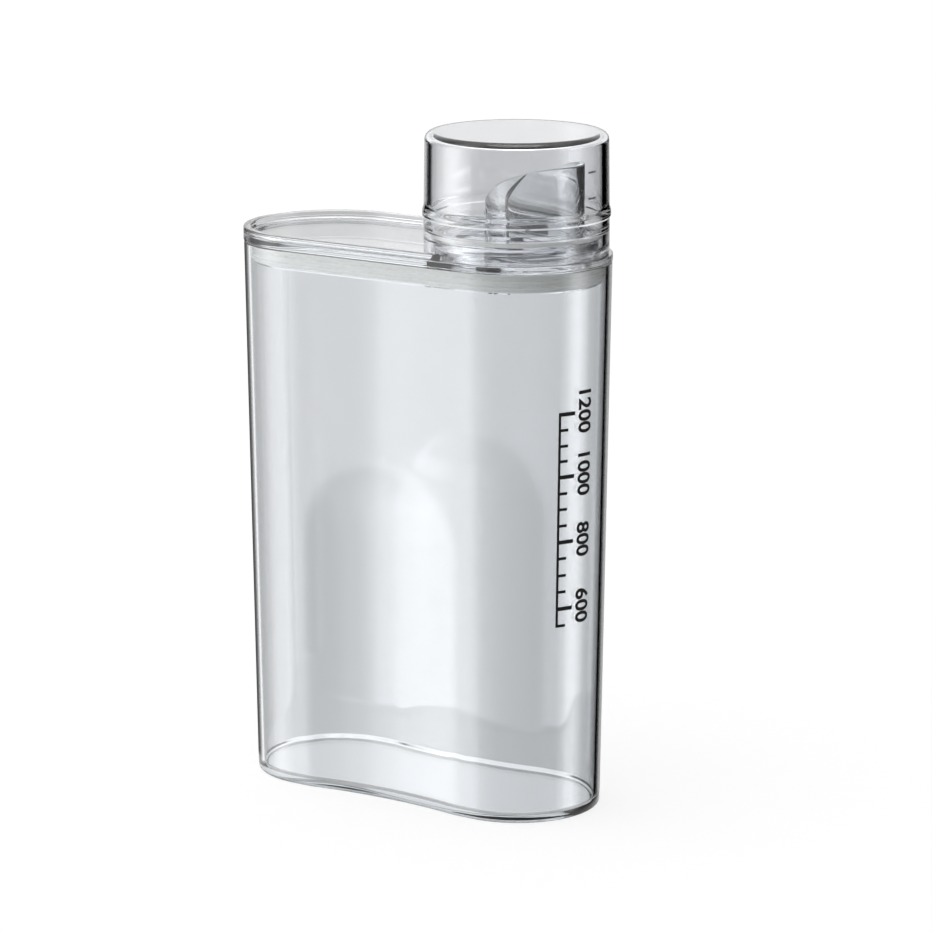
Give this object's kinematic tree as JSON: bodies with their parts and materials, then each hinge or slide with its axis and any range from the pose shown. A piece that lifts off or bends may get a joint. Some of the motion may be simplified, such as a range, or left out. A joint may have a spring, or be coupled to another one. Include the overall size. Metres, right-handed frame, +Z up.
{
  "type": "refillable laundry detergent bottle with a measuring cup cap",
  "caption": "Clear stadium-shaped laundry detergent bottle with hand recesses, a sealed plug lid, a drain-back pouring spout and a screw-on measuring cup as its cap.",
  "frame": {"origin": "middle of the container's base, on the surface that it stands on", "axes": "+Z up; +X along the length, towards the measuring cup; Y front to back, with the front at -Y"},
  "size_m": [0.1536, 0.07, 0.2571],
  "materials": {
    "clear_container": "clear injection-moulded plastic, polished",
    "clear_lid": "clear injection-moulded plastic, polished",
    "clear_spout": "clear injection-moulded plastic, polished",
    "clear_cup": "clear injection-moulded plastic, polished",
    "silicone": "translucent white silicone, satin",
    "print": "black screen-printed ink"
  },
  "bodies": {
    "container": {"container": "clear_container"},
    "lid": {"lid": "clear_lid", "lid_gasket": "silicone", "pour_spout": "clear_spout"},
    "cup_seal": {"cup_seal": "silicone"},
    "measuring_cup": {"measuring_cup": "clear_cup"}
  },
  "joints": [
    {"name": "lid_lift", "type": "slide", "parent": "container", "child": "lid", "axis": [0, 0, 1], "range_m": [0, 0.04]},
    {"name": "cap_lift", "type": "slide", "parent": "lid", "child": "cup_seal", "axis": [0, 0, 1], "range_m": [0, 0.05]},
    {"name": "cap_turn", "type": "hinge", "parent": "cup_seal", "child": "measuring_cup", "pos_m": [0.0408, 0, 0.2203], "axis": [0, 0, 1], "range_deg": [0, 450]}
  ]
}
